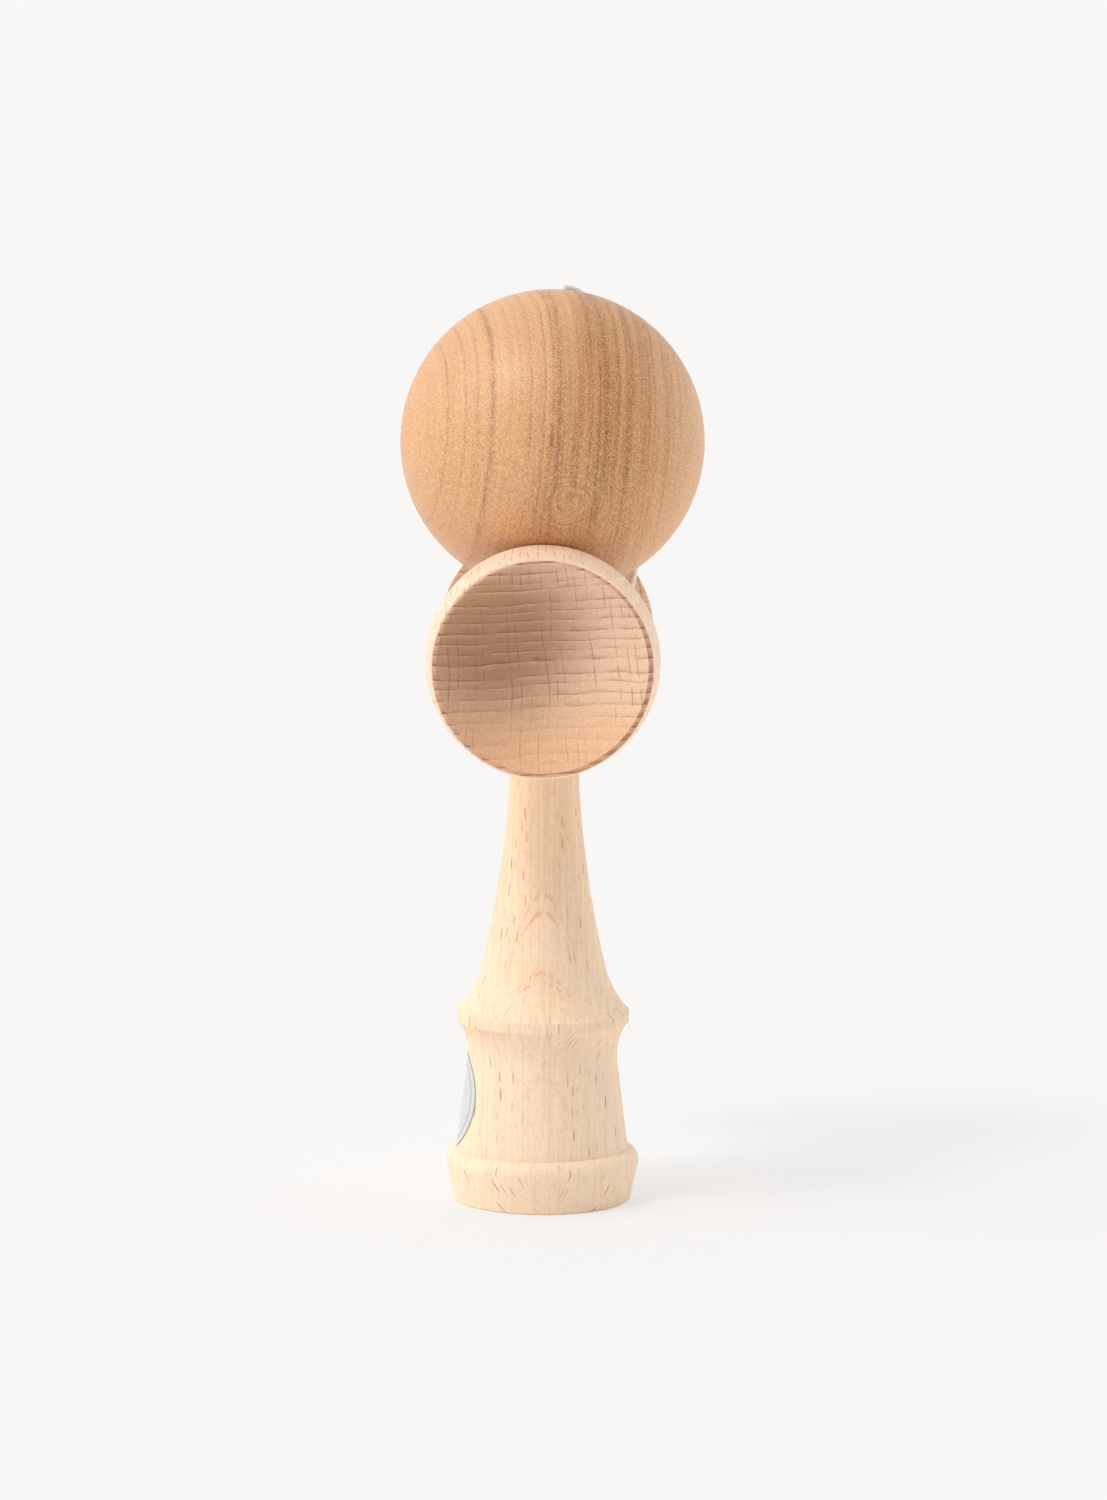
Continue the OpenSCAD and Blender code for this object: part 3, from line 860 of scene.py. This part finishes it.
# %% [markdown]
# ### The rubbed lip
#
# The tool has rubbed the flat lip red-brown, and the rings leave dark notches in it, most at the
# lower right. The red is narrower at the top and wider at the right, and outside it the rim is
# plain wood again. A ring of its own mesh could carry the red, but its border wanders, so the lip
# is coloured by its place: how far along the cup piece, and how far out from its axis.

# %% Lip of the cups
LIP_Y, LIP_FADE = 34.93, 0.05
RIM_Y, RIM_FADE = LIP_Y - 0.35, 0.05
RED_OUT, RED_OUT_UPPER, RED_OUT_RIGHT, RED_FADE = 21.2, -0.3, 0.22, 0.06

lip_red, lip_brown, tick = colour(212, 158, 130), colour(198, 142, 114), colour(122, 70, 50)
along = maths(tree, "ABSOLUTE", spot["Y"])
lip = step(tree, along, LIP_Y, LIP_Y + LIP_FADE)
rim = step(tree, along, RIM_Y, RIM_Y + RIM_FADE)
red_out = maths(tree, "MULTIPLY_ADD", upper, RED_OUT_UPPER, RED_OUT)
red_out = maths(tree, "MULTIPLY_ADD", right, RED_OUT_RIGHT, red_out)
reach = vectors(tree, "LENGTH", vectors(tree, "MULTIPLY", here, (1, 0, 1)))
plain = times(tree, rim, step(tree, maths(tree, "SUBTRACT", reach, red_out), 0, RED_FADE))
notched = times(tree, step(tree, rings["Fade"], 0.35, 0.7), 0.5)
notched = maths(tree, "MULTIPLY_ADD", notch, 0.25, notched)
notched = times(tree, notched, between(tree, upper, 1.0, 0.3), between(tree, right, 0.4, 1.0))
rubbed = mixed(tree, right, lip_red, lip_brown)
rubbed = washes(tree, rubbed, (grit, 0.6, glint), (notched, 1, tick), (rings["Line"], 1, tick))
face = washes(tree, face, (lip, 0.8, rubbed), (plain, 1, side))
print("lip: red-brown out to", RED_OUT, "mm from its middle")

# %% [markdown]
# ### Both grains together
#
# The direction of the surface against the grain tells the two apart: where it faces along the log
# it is end grain. Only end grain has the relief of the rings, so the same mask holds the bump back
# outside.

# %% Finish of the cup piece
facing = split(tree, add(tree, "TexCoord").outputs["Normal"])["Y"]
end_grain = step(tree, maths(tree, "ABSOLUTE", facing), 0.35, 0.6)
ring_steps = times(tree, step(tree, rings["Fade"], 0, 0.4), ridge)
pits = times(tree, maths(tree, "ADD", rays, fibre), 0.3)
relief = times(tree, maths(tree, "SUBTRACT", ring_steps, pits), end_grain)

feed(tree, shader.inputs["Base Color"], mixed(tree, end_grain, side, face))
feed(tree, shader.inputs["Roughness"], between(tree, fibre, 0.5, 0.64))
emboss(tree, shader, relief, 0.04)
dress(nodes["cup_piece"], cups_beech)
print("cup piece:", cups_beech.name)

# %% [markdown]
# ## The cherry ball
#
# The ball is warmer and finer. Its rings stand upright across the front like pages, so they show
# as soft vertical lines. They are uneven, so a ring texture would not do: they are placed one by
# one, first the narrow lines from left to right, then three wide shadows. The lines break up along
# the grain and are fainter low on the ball.

# %% Year ends of the ball
OUT_FROM_PITH = Vector((0.98, 0.165, -0.08))
SHEET_WAY = Vector((0.136, -0.949, -0.286))
PITH_AWAY = 800
BALL_YEARS = [
    (-26, 0.5, 1, 0.4), (-23, 0.4, 0.8, 0.3), (-21, 0.4, 0.6, 0.3), (-18.5, 1, 0.7, 1.1),
    (-11.4, 0.5, 0.8, 0.4), (-8.8, 0.6, 1.3, 0.3), (-7.2, 0.6, 0.9, 0.5), (-5.9, 0.6, 0.9, 0.5),
    (-2.2, 0.5, 0.7, 0.4), (0.2, 0.7, 0.8, 0.4), (1.8, 0.8, 1, 0.5), (3.2, 0.8, 1.1, 0.5),
    (5.6, 0.6, 0.8, 0.3), (8.2, 0.6, 1.2, 0.3), (11.5, 0.4, 0.8, 0.3), (13.4, 0.5, 0.8, 0.4),
    (16.6, 0.45, 0.8, 0.4), (19.6, 0.3, 0.8, 0.3), (21.4, 0.3, 0.8, 0.3),
    (-6.2, 0.5, 2.8, 2.4), (2.4, 0.5, 3.2, 3), (7.8, 0.45, 1.8, 1.5),
]

cherry, tree, shader = new_material(
    "cherry_ball", specular_ior_level=0.45, coat_weight=0.2, coat_roughness=0.4
)
pith = ball_centre + BALL_R * SHEET_WAY - PITH_AWAY * OUT_FROM_PITH
where = log_place(tree, out=OUT_FROM_PITH, grain=OUT_FROM_PITH.cross(SHEET_WAY), pith=pith)
log = place(tree, LOG, place=where, wobble=0.9, wobble_size=16, mean_radius=PITH_AWAY)
here = own_place(tree, middle=ball_centre)
height = split(tree, here)["Z"]
depth = maths(tree, "SUBTRACT", log["Radius"], PITH_AWAY)
broken = figure(tree, log["Grain"], cell=(0.8, 6, 3), detail=2, soft=0.4)
higher = step(tree, height, -20, 8)
ends = year_ends(tree, depth, BALL_YEARS)
ends = times(tree, ends, between(tree, broken, 0.3, 1.0), between(tree, higher, 0.4, 1.0))
print("ball:", len(BALL_YEARS), "years placed one by one")

# %% [markdown]
# ### Heart, sap and lines
#
# The heart wood in the middle is darkest. It goes over into paler sap wood on the left, and into
# paler outer wood on the right, which is partly a painted reflection of the white at the right
# edge. One picture of the front could hold these zones, but not the back. So they follow the depth
# in the log, sheared by the height, because their borders lean. Low down the ball is painted paler
# with the sap colour, as painted light thrown up from the floor. Thin light streaks and the dark
# year ends lie over these zones.

# %% Zones and lines of the ball
LEAN = -0.2

sap, heart, outer = colour(207, 150, 104), colour(172, 111, 59), colour(212, 164, 117)
line, light = colour(112, 64, 34), colour(231, 179, 130)
zone = maths(tree, "MULTIPLY_ADD", height, LEAN, depth)
# Painted reflection: the paler outer wood on the right also stands for the white seen at the ball's
# right edge.
outer_and_painted_rim_light, to_sap = step(tree, zone, 9, 25), step(tree, zone, -4, -12)
# Painted light: the ball is painted paler low down, for the light thrown up from the floor.
painted_bounce_low = maths(tree, "SUBTRACT", 1.0, higher)
thin = figure(tree, log["Grain"], cell=(0.8, 60, 30), detail=3, soft=0.3)
wood = washes(
    tree, heart, (outer_and_painted_rim_light, 1, outer), (to_sap, 1, sap), (painted_bounce_low, 0.45, sap),
    (thin, 0.42, light), (ends, 0.56, line),
)
print("ball: heart wood between sap and outer wood")

# %% [markdown]
# ### Crackle and bullseye
#
# The ray sheets lie almost flat to the front face. There the shimmer breaks into a crackle of tiny
# ripples and pores, which close into a bullseye where the sheets are cut flat. Fine geometry would
# be far too heavy for it, so it is noise: tiny cells for the ripples and pores, and cells that are
# thin round the log for the sheets. The satin finish has a low gloss that brightens towards the
# edge, which the shader's coat gives by itself.

# %% Crackle of the ball
PITH_FLECK = Vector((0.2, -29.8, 3.2))

glint, pore, red = colour(252, 204, 146), colour(128, 78, 42), colour(120, 56, 24)
ripple = figure(tree, log["Grain"], cell=(0.22, 0.24, 0.42), detail=1, soft=0.16)
dots = figure(tree, log["Grain"], cell=(0.2, 0.26, 0.5), detail=1, soft=0.18)
sheets = figure(tree, log["Grain"], cell=(3, 0.08, 5), detail=1, soft=0.24)
pores = times(tree, dots, between(tree, ends, 0.27, 0.77))
flat_cut = step(tree, vectors(tree, "DOT_PRODUCT", here, SHEET_WAY / BALL_R), 0.94, 0.985)
bullseye = times(tree, sheets, flat_cut)
gleam = maths(tree, "SUBTRACT", flat_cut, bullseye)
fleck = place(tree, MARK, place=here, at=PITH_FLECK, size=(0.6, 3, 2))["Mask"]
wood = washes(
    tree, wood, (ripple, 0.42, glint), (pores, 1, pore), (bullseye, 0.2, pore),
    (gleam, 0.12, glint), (fleck, 0.5, red),
)

feed(tree, shader.inputs["Base Color"], wood)
feed(tree, shader.inputs["Roughness"], between(tree, ripple, 0.5, 0.4))
emboss(tree, shader, maths(tree, "SUBTRACT", ripple, dots), 0.01)
dress(nodes["ball"], cherry)
dress(nodes["bead"], cherry)
print("ball and bead:", cherry.name)

# %% [markdown]
# ## The cotton string
#
# The string is white cotton. Hair strands could give it real fuzz, but none shows at this size.
# Its twist is already in the mesh, so the material only adds what is finer: the fibres of each
# strand, a little grey between them, and a soft sheen.

# %% Cotton of the string
white, grey = colour(250, 249, 246), colour(232, 229, 223)
cotton, tree, shader = new_material(
    "cotton_string", roughness=0.85, sheen_weight=0.2, specular_ior_level=0.2
)
fibre = figure(tree, own_place(tree), cell=(0.12, 0.12, 0.3), detail=2, soft=0.5)
feed(tree, shader.inputs["Base Color"], mixed(tree, fibre, white, grey))
emboss(tree, shader, fibre, -0.03)
for piece in (string, cup_knot, ball_knot):
    dress(piece, cotton)
print("string and knots:", cotton.name)

# %% [markdown]
# ## The foil seal
#
# The seal on the grip is a thin satin foil with a plain border line. The line could be a raised
# ring, but it is flat on the foil, so it is drawn by how far a place is from the middle of the
# oval: 0 in the middle and 1 at the edge. A cloudy noise keeps the foil from being one even grey.

# %% Foil of the seal
EDGE = (0.985, 1.0)
BORDER_IN, BORDER_OUT = (0.80, 0.82), (0.87, 0.85)

bright, shade, ink = colour(232, 234, 232), colour(210, 213, 211), colour(128, 124, 118)
foil, tree, shader = new_material("foil_seal", metallic=0.7)
low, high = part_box("seal")
half = (high - low) / 2 / MM
here = own_place(tree, middle=box_middle("seal"))
oval = vectors(tree, "MULTIPLY", here, (0, 1 / half.y, 1 / half.z))
oval = vectors(tree, "LENGTH", oval)
edge = step(tree, oval, *EDGE)
border = times(tree, step(tree, oval, *BORDER_IN), step(tree, oval, *BORDER_OUT))
cloud = figure(tree, here, cell=(0.4, 0.4, 0.4), detail=3, soft=0.7)
marked = maths(tree, "MAXIMUM", times(tree, edge, 0.7), times(tree, border, 0.4))
satin = mixed(tree, cloud, bright, shade)
feed(tree, shader.inputs["Base Color"], mixed(tree, marked, satin, ink))
feed(tree, shader.inputs["Roughness"], between(tree, cloud, 0.28, 0.43))
dress(nodes["seal"], foil)
print("seal:", foil.name)

# %% [markdown]
# ## Studio light
#
# The photograph is a white sweep, lit from the upper left in front by a big soft light, with white
# all round. Area lamps would fade across the floor, so the lamps are suns with wide discs: a key
# that throws the soft shadow, a wide box at the left, and a card at the right that lifts the dark
# side.

# %% Lamps
LAMPS = {
    "soft_key": (Vector((-0.41, -0.39, 0.82)), 0.9, radians(12)),
    "side_box": (Vector((-0.76, -0.2, 0.62)), 1.17, radians(55)),
    "right_card": (Vector((0.9, 0.3, 0.12)), 0.45, radians(60)),
}

for name, (origin, strength, disc) in LAMPS.items():
    sun = bpy.data.lights.new(name, "SUN")
    sun.energy, sun.angle = strength, disc
    in_scene(name, sun).rotation_euler = origin.to_track_quat("Z", "Y").to_euler()
print("lamps:", *LAMPS)

# %% [markdown]
# ## The white all round
#
# The white walls light the toy from everywhere, and more from behind than from the front. The
# camera sees the sweep's own off-white instead of that light, and so does a gloss. Stronger lamps
# would burn out the pale wood before the sweep were white, so a light path node tells the two
# kinds of ray apart.

# %% World
SWEEP = colour(248, 246, 245)
FRONT_LIGHT, EXTRA_BEHIND = 0.5, 0.76


def seen_directly(tree):
    """1 for what the camera sees by itself or in a gloss, 0 for light that spreads."""
    path = add(tree, "LightPath").outputs
    gloss = maths(tree, "MAXIMUM", path["Is Glossy Ray"], path["Is Transmission Ray"])
    return maths(tree, "MAXIMUM", path["Is Camera Ray"], gloss)


world = bpy.data.worlds.new("studio")
world.use_nodes = True
bpy.context.scene.world = world
tree = world.node_tree
behind = step(tree, split(tree, add(tree, "TexCoord").outputs["Generated"])["Y"], -0.5, 0.9)
ambient = tree.nodes["Background"]
ambient.inputs["Color"].default_value = (1, 1, 1, 1)
strength = maths(tree, "MULTIPLY_ADD", behind, EXTRA_BEHIND, FRONT_LIGHT)
feed(tree, ambient.inputs["Strength"], strength)
sweep = add(tree, "Background", {"Color": SWEEP, "Strength": 1.0})
share = seen_directly(tree)
both = add(tree, "MixShader", {0: share, 1: ambient.outputs[0], 2: sweep.outputs[0]})
feed(tree, tree.nodes["World Output"].inputs["Surface"], both.outputs[0])
print("world:", world.name)

# %% [markdown]
# ## The floor
#
# The toy stands on the same white sheet, which runs out of sight behind it. A curved sweep could
# be modelled, but a flat floor that reaches far enough back fills the view by itself. It keeps the
# shadow: to the camera it is mostly its own off-white, and a share of it is lit like any surface.

# %% Floor
FLOOR_GLOW = colour(235, 234, 233)
FLOOR_HALF = 14
SHADOW_SHARE = 0.3

floor_mesh = bpy.data.meshes.new("floor")
corners = [(x * FLOOR_HALF, y * FLOOR_HALF, 0) for x, y in ((-1, -1), (1, -1), (1, 1), (-1, 1))]
floor_mesh.from_pydata(corners, [], [(0, 1, 2, 3)])
floor = in_scene("floor", floor_mesh)
paper, tree, shader = new_material("floor", roughness=0.9, specular_ior_level=0.1)
shader.inputs["Base Color"].default_value = SWEEP
glow = add(tree, "Emission", {"Color": FLOOR_GLOW, "Strength": 1.0})
share = times(tree, seen_directly(tree), 1 - SHADOW_SHARE)
both = add(tree, "MixShader", {0: share, 1: shader.outputs[0], 2: glow.outputs[0]})
feed(tree, tree.nodes["Material Output"].inputs["Surface"], both.outputs[0])
dress(floor, paper)
print("floor:", 2 * FLOOR_HALF, "m square")
